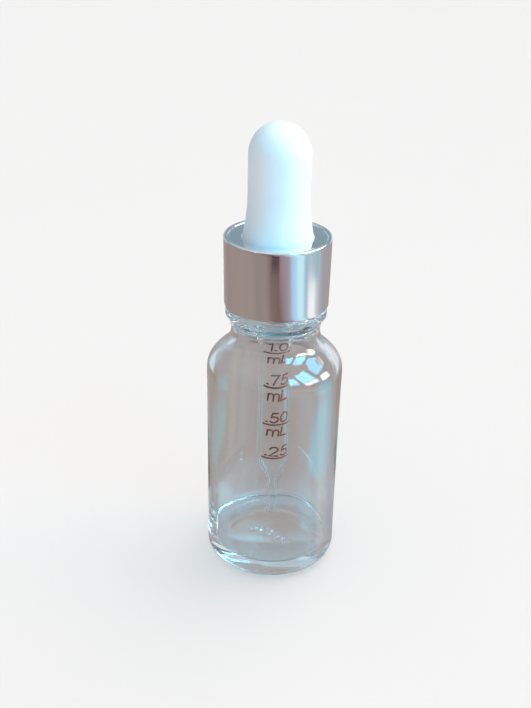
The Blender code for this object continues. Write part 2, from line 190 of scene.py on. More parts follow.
def revolve(name, outline, segments, start=0.0, sweep=2 * math.pi, shape_point=None):
    """Revolve a closed (radius, height) outline; a part turn is closed by flat end faces.

    shape_point may move a point: it takes (radius, height, angle, index) and returns the new pair.
    """
    full = abs(sweep - 2 * math.pi) < 1e-9
    columns = segments if full else segments + 1
    mesh = bmesh.new()
    rings = []
    for index, (radius, height) in enumerate(outline):
        if radius < 1e-7:
            rings.append([mesh.verts.new((0, 0, height))])
            continue
        ring = []
        for column in range(columns):
            angle = start + sweep * column / segments
            r, z = radius, height
            if shape_point:
                r, z = shape_point(radius, height, angle, index)
            ring.append(mesh.verts.new((r * math.cos(angle), r * math.sin(angle), z)))
        rings.append(ring)
    for index, ring in enumerate(rings):
        following = rings[(index + 1) % len(rings)]
        if len(ring) == 1 and len(following) == 1:
            continue
        for column in range(segments):
            turn = (column + 1) % columns
            if len(ring) == 1:
                corners = (ring[0], following[turn], following[column])
            elif len(following) == 1:
                corners = (ring[column], ring[turn], following[0])
            else:
                corners = (ring[column], ring[turn], following[turn], following[column])
            mesh.faces.new(corners)
    if not full:
        for column in (0, -1):
            loop = [ring[column if len(ring) > 1 else 0] for ring in rings]
            mesh.faces.new(loop)
    bmesh.ops.recalc_face_normals(mesh, faces=mesh.faces)
    data = bpy.data.meshes.new(name)
    mesh.to_mesh(data)
    mesh.free()
    return add_object(name, data)


def add_object(name, data, sharp_deg=50):
    """Link a mesh as a smooth-shaded object."""
    data.shade_smooth()
    data.set_sharp_from_angle(angle=math.radians(sharp_deg))
    obj = bpy.data.objects.new(name, data)
    bpy.context.scene.collection.objects.link(obj)
    return obj


# ---- material helpers --------------------------------------------------------------------------
def new_material(name, **values):
    """A Principled material with its constants set on the shader's own sockets."""
    material = bpy.data.materials.new(name)
    material.use_nodes = True
    shader = material.node_tree.nodes["Principled BSDF"]
    for socket, value in values.items():
        shader.inputs[socket.replace("_", " ")].default_value = value
    return material, material.node_tree, shader


def noise(tree, scale, detail=3.0, roughness=0.5, stretch=(1, 1, 1), distortion=0.0):
    """Object-space noise, stretched along the axes; returns its Fac socket."""
    place = tree.nodes.new("ShaderNodeTexCoord")
    mapping = tree.nodes.new("ShaderNodeMapping")
    mapping.inputs["Scale"].default_value = stretch
    texture = tree.nodes.new("ShaderNodeTexNoise")
    texture.inputs["Scale"].default_value = scale
    texture.inputs["Detail"].default_value = detail
    texture.inputs["Roughness"].default_value = roughness
    texture.inputs["Distortion"].default_value = distortion
    tree.links.new(place.outputs["Object"], mapping.inputs["Vector"])
    tree.links.new(mapping.outputs["Vector"], texture.inputs["Vector"])
    return texture.outputs["Fac"]


def map_range(tree, value, low_in, high_in, low_out, high_out):
    """A clamped linear change of range; returns its Result socket."""
    node = tree.nodes.new("ShaderNodeMapRange")
    tree.links.new(value, node.inputs["Value"])
    node.inputs["From Min"].default_value = low_in
    node.inputs["From Max"].default_value = high_in
    node.inputs["To Min"].default_value = low_out
    node.inputs["To Max"].default_value = high_out
    return node.outputs["Result"]


def mix_colour(tree, factor, first, second):
    """Mix two colours, each a socket or three numbers."""
    node = tree.nodes.new("ShaderNodeMix")
    node.data_type = 'RGBA'
    tree.links.new(factor, node.inputs["Factor"])
    for socket, value in ((node.inputs["A"], first), (node.inputs["B"], second)):
        if isinstance(value, bpy.types.NodeSocket):
            tree.links.new(value, socket)
        else:
            socket.default_value = (*value, 1.0)
    return node.outputs["Result"]


def bump(tree, shader, height, strength, distance):
    node = tree.nodes.new("ShaderNodeBump")
    node.inputs["Strength"].default_value = strength
    node.inputs["Distance"].default_value = distance
    tree.links.new(height, node.inputs["Height"])
    tree.links.new(node.outputs["Normal"], shader.inputs["Normal"])


def glass_material(name, colour, index, roughness_low, roughness_high, ripple):
    material, tree, shader = new_material(
        name, Base_Color=(*colour, 1.0), Transmission_Weight=1.0, IOR=index)
    haze = noise(tree, 260, 2.0)
    tree.links.new(map_range(tree, haze, 0.45, 0.75, roughness_low, roughness_high),
                   shader.inputs["Roughness"])
    bump(tree, shader, noise(tree, 220, 1.0, stretch=(1, 1, 0.35)), ripple, 0.05 * MM)
    return material


def rubber_material():
    material, tree, shader = new_material(
        "satin_white_rubber", IOR=1.5, Subsurface_Weight=0.25, Subsurface_Scale=0.8 * MM,
        Subsurface_Radius=(1.0, 0.8, 0.7), Specular_IOR_Level=0.45)
    cloud = noise(tree, 90, 3.0)
    colour = mix_colour(tree, map_range(tree, cloud, 0.35, 0.7, 0, 1),
                        (0.83, 0.88, 0.90), (0.86, 0.905, 0.92))
    tree.links.new(colour, shader.inputs["Base Color"])
    grain = noise(tree, 1800, 4.0)
    tree.links.new(map_range(tree, grain, 0.3, 0.7, 0.36, 0.48), shader.inputs["Roughness"])
    bump(tree, shader, grain, 0.25, 0.02 * MM)
    return material


def aluminium_material():
    material, tree, shader = new_material("bright_aluminium", Metallic=1.0)
    streak = noise(tree, 500, 4.0, stretch=(1, 1, 0.04))
    colour = mix_colour(tree, map_range(tree, streak, 0.35, 0.7, 0, 1),
                        (0.885, 0.885, 0.89), (0.925, 0.925, 0.93))
    tree.links.new(colour, shader.inputs["Base Color"])
    tree.links.new(map_range(tree, streak, 0.3, 0.75, 0.05, 0.13), shader.inputs["Roughness"])
    bump(tree, shader, noise(tree, 900, 3.0, stretch=(1, 1, 0.06)), 0.12, 0.01 * MM)
    return material


def ink_material():
    material, tree, shader = new_material("fired_brown_ink", IOR=1.5)
    patch = noise(tree, 2500, 3.0)
    colour = mix_colour(tree, map_range(tree, patch, 0.35, 0.7, 0, 1),
                        (0.24, 0.045, 0.022), (0.33, 0.08, 0.04))
    tree.links.new(colour, shader.inputs["Base Color"])
    tree.links.new(map_range(tree, patch, 0.3, 0.7, 0.4, 0.6), shader.inputs["Roughness"])
    return material


def liner_material():
    material, tree, shader = new_material(
        "natural_polypropylene", IOR=1.49, Subsurface_Weight=0.3, Subsurface_Scale=1.0 * MM,
        Subsurface_Radius=(1.0, 1.0, 0.9))
    cloud = noise(tree, 300, 3.0)
    colour = mix_colour(tree, map_range(tree, cloud, 0.35, 0.7, 0, 1),
                        (0.72, 0.72, 0.70), (0.80, 0.80, 0.78))
    tree.links.new(colour, shader.inputs["Base Color"])
    tree.links.new(map_range(tree, cloud, 0.3, 0.7, 0.34, 0.5), shader.inputs["Roughness"])
    return material


# ---- the glass bottle --------------------------------------------------------------------------
def shoulder_outline(inset, steps):
    degrees = math.degrees(SHOULDER_ANGLE)
    run = (BODY_RADIUS - WAIST_RADIUS
           - (SHOULDER_RADIUS + WAIST_CURVE) * (1 - math.cos(SHOULDER_ANGLE)))
    straight = run / math.sin(SHOULDER_ANGLE)
    waist_height = (SHOULDER_START + (SHOULDER_RADIUS + WAIST_CURVE) * math.sin(SHOULDER_ANGLE)
                    + straight * math.cos(SHOULDER_ANGLE))
    crown = arc(BODY_RADIUS - SHOULDER_RADIUS, SHOULDER_START, SHOULDER_RADIUS - inset,
                SHOULDER_RADIUS - inset, 0, degrees, steps)
    hollow = arc(WAIST_RADIUS + WAIST_CURVE, waist_height, WAIST_CURVE + inset,
                 WAIST_CURVE + inset, 180 + degrees, 180, steps)
    return crown + line(crown[-1], hollow[0], 4) + hollow, waist_height


def shoulder_softening(height, reach):
    """How much a gradual start of the shoulder's curve, of radius reach, takes off the radius."""
    if abs(height - SHOULDER_START) > 3 * SHOULDER_SPREAD:
        return 0.0
    end = reach * math.sin(SHOULDER_ANGLE)

    def drop(level):
        rise = level - SHOULDER_START
        if rise <= 0:
            return 0.0
        if rise < end:
            return reach - math.sqrt(reach ** 2 - rise ** 2)
        return reach * (1 - math.cos(SHOULDER_ANGLE)) + (rise - end) * math.tan(SHOULDER_ANGLE)

    steps = range(-8, 9)
    nearby = sum(drop(height + SHOULDER_SPREAD * step / 8) for step in steps)
    return nearby / len(steps) - drop(height)


def thread_lift(height, angle):
    """How far the neck's helical ridge stands out at this height and angle."""
    start = LIP - THREAD_BELOW_LIP - THREAD_TURNS * THREAD_PITCH
    lift = 0.0
    angle %= 2 * math.pi
    for turn in range(2):
        along = angle + 2 * math.pi * turn
        if along > 2 * math.pi * THREAD_TURNS:
            continue
        away = abs(height - start - THREAD_PITCH * along / (2 * math.pi))
        to_end = min(along, 2 * math.pi * THREAD_TURNS - along)
        growth = smoothstep(0, THREAD_FADE, to_end)
        ridge = 1 - smoothstep(0.45 * THREAD_HALF_WIDTH, THREAD_HALF_WIDTH, away)
        lift = max(lift, THREAD_HEIGHT * growth * ridge)
    return lift


def base_mark_lift(radius, angle):
    """Height of the generic raised marks under the foot: short strokes along a shallow arc."""
    ring, half_depth, step = 11.0 * MM, 0.85 * MM, math.radians(5.8)
    x = radius * math.cos(angle) + 5.6 * MM
    y = radius * math.sin(angle) + 9.2 * MM
    along = (math.atan2(y, x) - math.radians(58)) / step
    away = abs(math.hypot(x, y) - ring)
    if abs(along) > 4.5 or away > half_depth * 1.4:
        return 0.0
    across = 1 - smoothstep(0.14, 0.3, abs((along + 0.5) % 1.0 - 0.5))
    inward = 1 - smoothstep(half_depth * 0.8, half_depth * 1.3, away)
    return BASE_MARK_HEIGHT * across * inward


def stipple_lift(radius, height, angle):
    """Shallow moulded ripple of the foot ring and the heel, always upwards."""
    wave = math.sin(41 * angle + 2.2 * math.sin(5 * angle) + 2600 * height)
    wave *= math.sin(19 * angle - 1700 * radius + 1.5 * math.sin(7 * angle))
    return STIPPLE_DEPTH * (0.5 + 0.5 * wave) * (1 - smoothstep(1.2 * MM, 2.6 * MM, height))


def make_bottle(material):
    foot_outer = BODY_RADIUS - HEEL_WIDTH
    foot_inner = foot_outer - FOOT_RING_WIDTH
    foot = [(foot_inner * step / 40, PUSH_UP * (1 - (step / 40) ** 2)) for step in range(41)]
    foot += line((foot_inner, 0), (foot_outer, 0), 5)
    heel = arc(foot_outer, HEEL_HEIGHT, HEEL_WIDTH, HEEL_HEIGHT, -90, 0, 14)
    bend_start = SHOULDER_START - 2 * MM
    side = line((BODY_RADIUS, HEEL_HEIGHT), (BODY_RADIUS, bend_start), 16)
    side += line((BODY_RADIUS, bend_start), (BODY_RADIUS, SHOULDER_START), 10)
    shoulder, waist_height = shoulder_outline(0, 12)
    bead_rise = math.sqrt(WAIST_CURVE ** 2 - (WAIST_CURVE + WAIST_RADIUS - BEAD_RADIUS) ** 2)
    under_bead = arc(WAIST_RADIUS + WAIST_CURVE, waist_height, WAIST_CURVE, WAIST_CURVE,
                     180, 180 - math.degrees(math.asin(bead_rise / WAIST_CURVE)), 10)
    bead_top = waist_height + bead_rise + BEAD_HEIGHT
    bead = arc(BEAD_RADIUS - BEAD_ROUNDING, bead_top - BEAD_ROUNDING,
               BEAD_ROUNDING, BEAD_ROUNDING, 0, 90, 6)
    neck_foot = arc(NECK_RADIUS + NECK_FOOT_ROUNDING, bead_top + NECK_FOOT_ROUNDING,
                    NECK_FOOT_ROUNDING, NECK_FOOT_ROUNDING, -90, -180, 4)
    lip_centre = LIP - LIP_ROUNDING
    neck = line(neck_foot[-1], (NECK_RADIUS, lip_centre), 64)
    lip = arc(NECK_RADIUS - LIP_ROUNDING, lip_centre, LIP_ROUNDING, LIP_ROUNDING, 0, 90, 6)
    mouth = arc(NECK_BORE + LIP_ROUNDING, lip_centre, LIP_ROUNDING, LIP_ROUNDING, 90, 180, 6)
    bore = line((NECK_BORE, lip_centre), (NECK_BORE, bead_top), 6)
    throat = eased((NECK_BORE, bead_top), (WAIST_RADIUS - GLASS_WALL, waist_height), 12)
    inner_shoulder = list(reversed(shoulder_outline(GLASS_WALL, 12)[0]))
    inner_radius = BODY_RADIUS - GLASS_WALL
    inner_side = line((inner_radius, SHOULDER_START), (inner_radius, bend_start), 10)
    inner_side += line((inner_radius, bend_start),
                       (inner_radius, FLOOR_HEIGHT + INNER_HEEL_RADIUS), 40)
    inner_heel = arc(inner_radius - INNER_HEEL_RADIUS, FLOOR_HEIGHT + INNER_HEEL_RADIUS,
                     INNER_HEEL_RADIUS, INNER_HEEL_RADIUS, 0, -90, 10)
    floor_edge = inner_radius - INNER_HEEL_RADIUS
    floor = [(floor_edge * (1 - step / 14),
              FLOOR_HEIGHT + FLOOR_RISE * smoothstep(0, 1, step / 14)) for step in range(15)]
    outer = clean(foot + heel + side + shoulder + under_bead + bead + neck_foot + neck + lip)
    inner = mouth + bore + throat + inner_shoulder + inner_side + inner_heel + floor
    outline = clean(outer + inner)
    outer_count = len(outer)
    outline[-1] = (0.0, outline[-1][1])

    def shape_point(radius, height, angle, index):
        if index < outer_count:
            if height <= PUSH_UP and radius < foot_inner:
                return radius, height - min(base_mark_lift(radius, angle), height * 0.9)
            if height < HEEL_HEIGHT:
                return radius, height + stipple_lift(radius, height, angle)
            if radius <= NECK_RADIUS + 1e-6 and height > bead_top:
                return radius + thread_lift(height, angle), height
            sides = (smoothstep(HEEL_HEIGHT, 12 * MM, height)
                     * (1 - smoothstep(40 * MM, 50 * MM, height)))
            drift = 0.035 * math.sin(2 * angle + 0.6) + 0.02 * math.sin(5 * angle + 80 * height)
            return (radius - (0.055 + drift) * MM * sides
                    - shoulder_softening(height, SHOULDER_RADIUS)), height
        wall = smoothstep(6 * MM, 14 * MM, height) * (1 - smoothstep(47 * MM, 56 * MM, height))
        swell = (0.10 * math.sin(2 * angle + 1.1 + 40 * height)
                 + 0.07 * math.sin(3 * angle - 0.7 - 55 * height)
                 + 0.035 * math.sin(7 * angle + 120 * height)
                 + 0.05 * math.sin(140 * height + 2 * math.sin(angle)))
        low = 1 - smoothstep(5 * MM, 9 * MM, height)
        uneven = FLOOR_LEAN * low * math.sin(2 * angle + 0.9) * radius / inner_radius
        softening = shoulder_softening(height, SHOULDER_RADIUS - GLASS_WALL)
        return radius + swell * MM * wall - softening, height + uneven

    bottle = revolve("bottle_glass", outline, 160, shape_point=shape_point)
    bottle.data.materials.append(material)
    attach(bottle, "bottle")
    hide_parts("glass_bottle")


# ---- the pipette and its printed scale ---------------------------------------------------------
def make_pipette(material):
    polish = FIRE_POLISH
    bore = PIPETTE_RADIUS - PIPETTE_WALL
    taper_start = TIP_BOTTOM + TIP_LENGTH
    taper_end = taper_start + TAPER_LENGTH
    tip_wall = (TIP_RADIUS - TIP_BORE) / 2
    outline = arc(TIP_BORE + tip_wall, TIP_BOTTOM + tip_wall, tip_wall, tip_wall, 180, 360, 10)
    outline += line(outline[-1], (TIP_RADIUS, taper_start), 5)
    outline += eased((TIP_RADIUS, taper_start), (PIPETTE_RADIUS, taper_end), 24)
    outline += line((PIPETTE_RADIUS, taper_end), (PIPETTE_RADIUS, PIPETTE_TOP - polish), 30)
    outline += arc(PIPETTE_RADIUS - polish, PIPETTE_TOP - polish, polish, polish, 0, 90, 5)
    outline += arc(bore + polish, PIPETTE_TOP - polish, polish, polish, 90, 180, 5)
    outline += line((bore, PIPETTE_TOP - polish), (bore, taper_end), 30)
    outline += reversed(eased((TIP_BORE, taper_start), (bore, taper_end), 24))
    outline += line((TIP_BORE, taper_start), (TIP_BORE, TIP_BOTTOM + tip_wall), 5)

    def shape_point(radius, height, angle, index):
        ripple = (0.012 * math.sin(2 * angle + 160 * height)
                  + 0.008 * math.sin(3 * angle - 90 * height))
        return radius + ripple * MM * smoothstep(taper_start, taper_end, height), height

    pipette = revolve("pipette_glass", clean(outline), 72, shape_point=shape_point)
    pipette.data.materials.append(material)
    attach(pipette, "pipette")
    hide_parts("glass_pipette")


def glyph_strokes(character):
    """Centre lines of one character, in a box one unit high, and the character's width."""
    if character == "0":
        return [arc(0.33, 0.5, 0.33, 0.5, 90, 450, 28)], 0.66
    if character == "1":
        return [[(0.0, 0.8), (0.22, 1.0), (0.22, 0.0)]], 0.3
    if character == "2":
        return [arc(0.31, 0.7, 0.3, 0.3, 165, -30, 14) + [(0.02, 0.0), (0.66, 0.0)]], 0.66
    if character == "5":
        bowl = arc(0.3, 0.32, 0.32, 0.32, 125, -145, 18)
        return [[(0.6, 1.0), (0.14, 1.0), (0.08, 0.56)] + bowl], 0.64
    if character == "7":
        return [[(0.0, 1.0), (0.62, 1.0), (0.38, 0.5), (0.24, 0.0)]], 0.62
    if character == ".":
        return [[(0.0, 0.06), (0.12, 0.06)]], 0.12
    if character == "m":
        return [[(0.0, 0.0), (0.0, 0.72)],
                [(0.0, 0.5)] + arc(0.24, 0.48, 0.24, 0.24, 165, 0, 8) + [(0.48, 0.0)],
                [(0.48, 0.5)] + arc(0.72, 0.48, 0.24, 0.24, 165, 0, 8) + [(0.96, 0.0)]], 0.96
    return [[(0.06, 1.0), (0.0, 0.0), (0.56, 0.0)]], 0.58


def ribbon(mesh, points, width, inner, outer):
    """A thin raised band along a stroke, wrapped on the pipette.

    Points are (arc length, height).
    """
    half = width / 2
    rails = []
    count = len(points)
    for index, point in enumerate(points):
        before = Vector(points[max(index - 1, 0)])
        after = Vector(points[min(index + 1, count - 1)])
        here = Vector(point)
        into = (here - before).normalized() if index else (after - here).normalized()
        out = (after - here).normalized() if index < count - 1 else into
        along = (into + out).normalized() if (into + out).length > 1e-6 else into
        side = Vector((-along.y, along.x))
        reach = half / max(0.6, side.dot(Vector((-into.y, into.x))))
        rails.append((here, along, side * reach))
    loops = []
    start, start_along, start_side = rails[0]
    end, end_along, end_side = rails[-1]
    caps = [(start - start_along * half * 0.75, start_side * 0.55)]
    caps += [(here, side) for here, _, side in rails]
    caps += [(end + end_along * half * 0.75, end_side * 0.55)]
    for centre, side in caps:
        loop = []
        for offset, radius in ((-1, inner), (-0.86, outer), (0.86, outer), (1, inner)):
            spot = centre + side * offset
            angle = -math.pi / 2 + SCALE_TURN + spot.x / PIPETTE_RADIUS
            loop.append(mesh.verts.new(
                (radius * math.cos(angle), radius * math.sin(angle), spot.y)))
        loops.append(loop)
    for near, far in zip(loops, loops[1:]):
        for edge in range(4):
            after = (edge + 1) % 4
            mesh.faces.new((near[edge], near[after], far[after], far[edge]))
    mesh.faces.new(loops[0])
    mesh.faces.new(loops[-1])


def make_scale(material):
    stroke = 0.40 * MM
    figure_height = 2.25 * MM
    unit_height = 2.05 * MM
    broad = 1.22
    slant = 0.12
    spacing = 0.5 * MM
    inner, outer = PIPETTE_RADIUS + PRINT_GAP, PIPETTE_RADIUS + PRINT_HEIGHT
    for label, text, unit in (("100", "1.0", "mL"), ("075", ".75", "mL"), ("050", ".50", "mL"),
                              ("025", ".25", "")):
        low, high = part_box("scale_line_" + label)
        level = (low.z + high.z) / 2
        mesh = bmesh.new()
        half_line = SCALE_HALF_ANGLE * PIPETTE_RADIUS
        ribbon(mesh, line((-half_line, level), (half_line, level), 24), stroke, inner, outer)
        rows = [(text, level + 0.58 * MM, figure_height),
                (unit, level - 0.7 * MM - unit_height, unit_height)]
        for words, baseline, size in rows:
            widths = [glyph_strokes(character)[1] * size * broad for character in words]
            cursor = -(sum(widths) + spacing * (len(words) - 1)) / 2 + 0.2 * MM
            for character, width in zip(words, widths):
                for points in glyph_strokes(character)[0]:
                    placed = [(cursor + (x * broad + slant * (y - 0.5)) * size, baseline + y * size)
                              for x, y in points]
                    ribbon(mesh, placed, stroke, inner, outer)
                cursor += width + spacing
        bmesh.ops.recalc_face_normals(mesh, faces=mesh.faces)
        data = bpy.data.meshes.new("scale_print_" + label)
        mesh.to_mesh(data)
        mesh.free()
        printed = add_object("scale_print_" + label, data, 30)
        printed.data.materials.append(material)
        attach(printed, "pipette")
        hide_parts("scale_line_" + label)


# ---- collar and liner --------------------------------------------------------------------------
def make_collar(material):
    outer_top = SHELL_HIGH.x
    outer_bottom = outer_top - SHELL_TAPER
    inner = outer_bottom - SHELL_WALL
    top = RIM_TOP - SHELL_RIM_HEIGHT
    underside = top - SHELL_WALL
    hole = TEAT_FOOT_RADIUS + HOLE_GAP
    bottom = SHELL_LOW.z
    foot = arc(outer_bottom - SHELL_HEM, bottom + SHELL_HEM, SHELL_HEM, SHELL_HEM, -90, 0, 6)
    side = line(foot[-1], (outer_top, top), 24)
    rim = arc(outer_top - SHELL_RIM_WIDTH / 2, top, SHELL_RIM_WIDTH / 2, SHELL_RIM_HEIGHT,
              0, 180, 16)
    deck = line(rim[-1], (hole + HOLE_ROUNDING, top), 8)
    lip = arc(hole + HOLE_ROUNDING, top - HOLE_ROUNDING, HOLE_ROUNDING, HOLE_ROUNDING, 90, 180, 3)
    corner = arc(inner - SHELL_CORNER, underside - SHELL_CORNER, SHELL_CORNER, SHELL_CORNER,
                 90, 0, 4)
    outline = clean([(inner, bottom)] + foot + side + rim + deck + lip
                    + [(hole, underside)] + corner)

    def shape_point(radius, height, angle, index):
        wall = (smoothstep(bottom, bottom + 1.5 * MM, height)
                * (1 - smoothstep(top - 1.5 * MM, top, height)))
        wave = 0.006 * math.sin(3 * angle + 200 * height) + 0.004 * math.sin(8 * angle)
        return radius + wave * MM * wall, height

    collar = revolve("collar_metal", outline, 192, shape_point=shape_point)
    collar.data.materials.append(material)
    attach(collar, "cap")
    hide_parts("collar_shell")


# ---- the rubber bulb ---------------------------------------------------------------------------
def teat_radius(height):
    share = min(1.0, max(0.0, 1 - (height - RIM_TOP) / TEAT_FLARE_HEIGHT))
    return TEAT_RADIUS + (TEAT_FOOT_RADIUS - TEAT_RADIUS) * share ** 2


def teat_outline():
    flange_bottom = LIP + CLAMP_GAP
    flange_top = flange_bottom + TEAT_FLANGE
    dome_start = TEAT_TOP - TEAT_DOME
    cavity = TEAT_RADIUS - TEAT_WALL
    socket_top = PIPETTE_TOP + 0.1 * MM
    plug_bottom = BULB_LOW.z
    side = [(teat_radius(z), z) for _, z in line((0, RIM_TOP), (0, dome_start), 40)]
    outline = line((SOCKET_RADIUS, plug_bottom), (PLUG_RADIUS - PLUG_CHAMFER, plug_bottom), 1)
    outline += arc(PLUG_RADIUS - PLUG_CHAMFER, plug_bottom + PLUG_CHAMFER,
                   PLUG_CHAMFER, PLUG_CHAMFER, -90, 0, 5)
    outline += line((PLUG_RADIUS, plug_bottom + PLUG_CHAMFER), (PLUG_RADIUS, flange_bottom), 3)
    outline += [(TEAT_FLANGE_RADIUS - 0.1 * MM, flange_bottom)]
    outline += arc(TEAT_FLANGE_RADIUS - FLANGE_ROUNDING, flange_bottom + FLANGE_ROUNDING,
                   FLANGE_ROUNDING, FLANGE_ROUNDING, -90, 0, 3)
    outline += arc(TEAT_FLANGE_RADIUS - FLANGE_ROUNDING, flange_top - FLANGE_ROUNDING,
                   FLANGE_ROUNDING, FLANGE_ROUNDING, 0, 90, 3)
    outline += [(TEAT_FOOT_RADIUS, flange_top)] + side
    outline += arc(0, dome_start, TEAT_RADIUS, TEAT_DOME, 0, 90, 28)
    outline += arc(0, dome_start, cavity, TEAT_DOME - TEAT_WALL, 90, 0, 16)
    outline += line((cavity, dome_start), (cavity, socket_top + 1.0 * MM), 16)
    outline += [(SOCKET_RADIUS, socket_top)]
    return [(0.0 if radius < 1e-7 else radius, height) for radius, height in clean(outline)]


def make_bulb(material):
    """Two halves that meet in the XZ plane; each bends towards the axis where fingers press."""
    outline = teat_outline()
    dome_start = TEAT_TOP - TEAT_DOME
    for side, start, reach in (("front", math.pi, -1), ("back", 0.0, 1)):
        half = revolve("bulb_rubber_" + side, outline, 96, start=start, sweep=math.pi)
        half.data.materials.append(material)
        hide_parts("bulb_" + side + "_wall", "rubber_bulb")
        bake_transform(half, "bulb", "bulb_" + side, start=(0, 0, RIM_TOP),
                 end=(0, reach * TEAT_RADIUS, RIM_TOP))
        weights = half.data.attributes["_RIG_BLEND"].data
        for vertex, weight in zip(half.data.vertices, weights):
            rising = smoothstep(RIM_TOP + 1.5 * MM, RIM_TOP + 10 * MM, vertex.co.z)
            falling = 1 - 0.45 * smoothstep(dome_start, TEAT_TOP, vertex.co.z)
            weight.value = min(1.0, abs(vertex.co.y) / TEAT_RADIUS) * rising * falling


# ---- carried-over CAD nodes --------------------------------------------------------------------
def dress_cad_node(name, material):
    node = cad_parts[name]
    node.data.materials.clear()
    node.data.materials.append(material)


# ---- stage: floor, window panes, lights, world, camera -----------------------------------------
def emission_material(name, colour, strength):
    material = bpy.data.materials.new(name)
    material.use_nodes = True
    tree = material.node_tree
    tree.nodes.clear()
    light = tree.nodes.new("ShaderNodeEmission")
    light.inputs["Color"].default_value = (*colour, 1.0)
    light.inputs["Strength"].default_value = strength
    out = tree.nodes.new("ShaderNodeOutputMaterial")
    tree.links.new(light.outputs["Emission"], out.inputs["Surface"])
    return material


def make_floor():
    mesh = bmesh.new()
    bmesh.ops.create_grid(mesh, x_segments=1, y_segments=1, size=3.0)
    data = bpy.data.meshes.new("floor")
    mesh.to_mesh(data)
    mesh.free()
    floor = bpy.data.objects.new("floor", data)
    bpy.context.scene.collection.objects.link(floor)
    material, tree, shader = new_material("pale_floor", Roughness=0.85, Specular_IOR_Level=0.2)
    colour = mix_colour(tree, noise(tree, 6, 3.0), (0.757, 0.655, 0.609), (0.775, 0.672, 0.625))
    tree.links.new(colour, shader.inputs["Base Color"])
    data.materials.append(material)
    floor.visible_transmission = False
    floor.visible_glossy = False


# Window panes that only shiny surfaces and glass see: bearing from the camera's side and elevation
# of the four corners in degrees, colour, strength.
PANES = (
    (((27, 29), (45, 27), (44, 47), (31, 50)), (0.14, 0.68, 1.0), 13.0),
    (((52, 26), (78, 24), (74, 50), (49, 52)), (0.12, 0.62, 1.0), 13.0),
    (((54, 15), (80, 14), (78, 22), (52, 24)), (0.95, 1.0, 1.0), 12.0),
    (((86, 31), (108, 29), (105, 46), (83, 47)), (0.10, 0.50, 1.0), 11.0),
    (((86, 6), (104, 6), (104, 22), (86, 23)), (1.0, 1.0, 0.86), 10.0),
    (((110, 27), (132, 30), (132, 33), (110, 30)), (1.0, 0.98, 0.95), 7.0),
    (((-70, 55.5), (-57, 60), (-57, 61.2), (-70, 56.7)), (0.95, 0.97, 1.0), 11.0))


def make_panes():
    distance = 0.6
    centre = Vector((0, 0, 50 * MM))
    for number, (corners, colour, strength) in enumerate(PANES):
        mesh = bmesh.new()
        places = []
        for azimuth, elevation in corners:
            a, e = math.radians(azimuth), math.radians(elevation)
            places.append(mesh.verts.new(centre + distance * Vector((
                math.sin(a) * math.cos(e), -math.cos(a) * math.cos(e), math.sin(e)))))
        mesh.faces.new(places)
        name = "window_pane_%d" % (number + 1)
        data = bpy.data.meshes.new(name)
        mesh.to_mesh(data)
        mesh.free()
        pane = bpy.data.objects.new(name, data)
        bpy.context.scene.collection.objects.link(pane)
        data.materials.append(emission_material(name, colour, strength))
        pane.visible_camera = False
        pane.visible_diffuse = False
        pane.visible_shadow = False


def add_sun(name, bearing, elevation, strength, colour, angle, shadow):
    """A soft distant light, aimed at the object from a bearing and an elevation in degrees."""
    light = bpy.data.lights.new(name, 'SUN')
    light.energy = strength
    light.color = colour
    light.angle = math.radians(angle)
    lamp = bpy.data.objects.new(name, light)
    bpy.context.scene.collection.objects.link(lamp)
    a, e = math.radians(bearing), math.radians(elevation)
    towards = Vector((math.sin(a) * math.cos(e), -math.cos(a) * math.cos(e), math.sin(e)))
    lamp.location = towards
    lamp.rotation_mode = 'QUATERNION'
    lamp.rotation_quaternion = towards.to_track_quat('Z', 'Y')
    lamp.visible_glossy = False
    lamp.visible_transmission = False
    light.use_shadow = shadow


def srgb(red, green, blue, gain=1.0):
    """Display colour from 0 to 255 as scene-linear values."""
    values = []
    for value in (red, green, blue):
        share = value / 255
        linear = share / 12.92 if share <= 0.04045 else ((share + 0.055) / 1.055) ** 2.4
        values.append(gain * linear)
    return tuple(values)


# The room that shiny surfaces and glass see. First by elevation in degrees, all round; the darker values
# straight down are painted shade, standing in for the shadow under the bottle as seen through its base.
BY_ELEVATION = (
    (-90, srgb(110, 124, 134)), (-72, srgb(128, 142, 152)), (-62, srgb(168, 180, 190)),
    (-50, srgb(168, 177, 187)), (-44, srgb(166, 174, 182)),
    (-40.5, srgb(160, 166, 172)), (-38.3, srgb(160, 160, 164)), (-37, srgb(178, 186, 195)),
    (-35.5, srgb(174, 173, 178)), (-32.5, srgb(171, 160, 157)), (-14, srgb(170, 158, 156)),
    (-4, srgb(172, 180, 186)), (6, srgb(190, 214, 226)), (14, srgb(172, 194, 206)),
    (20, srgb(133, 155, 166)), (27, srgb(142, 165, 176)), (36, srgb(180, 196, 206)),
    (60, srgb(214, 222, 228)), (90, srgb(232, 236, 240)))

# Then by bearing from the camera's side in degrees, for the low part of the room in front and
# beside.
BY_BEARING = (
    (-180, srgb(171, 160, 157)), (-140, srgb(160, 148, 144)), (-130, srgb(155, 141, 136)),
    (-90, srgb(160, 146, 139)), (-60, srgb(160, 146, 140)), (-44, srgb(150, 137, 131)),
    (-30, srgb(154, 140, 133)), (-22, srgb(150, 134, 128)), (-16, srgb(134, 115, 109)),
    (3, srgb(124, 104, 101)), (7, srgb(140, 121, 119)), (18, srgb(156, 145, 150)),
    (27, srgb(166, 166, 182)), (31, srgb(174, 205, 236)), (40, srgb(184, 220, 246)),
    (46, srgb(205, 246, 255)), (56, srgb(205, 244, 255)), (61, srgb(180, 204, 224)),
    (67, srgb(178, 196, 212)), (70, srgb(250, 255, 255)), (85, srgb(255, 255, 255)),
    (92, srgb(208, 216, 222)), (104, srgb(180, 180, 186)), (120, srgb(164, 162, 167)),
    (140, srgb(166, 166, 170)), (180, srgb(171, 160, 157)))

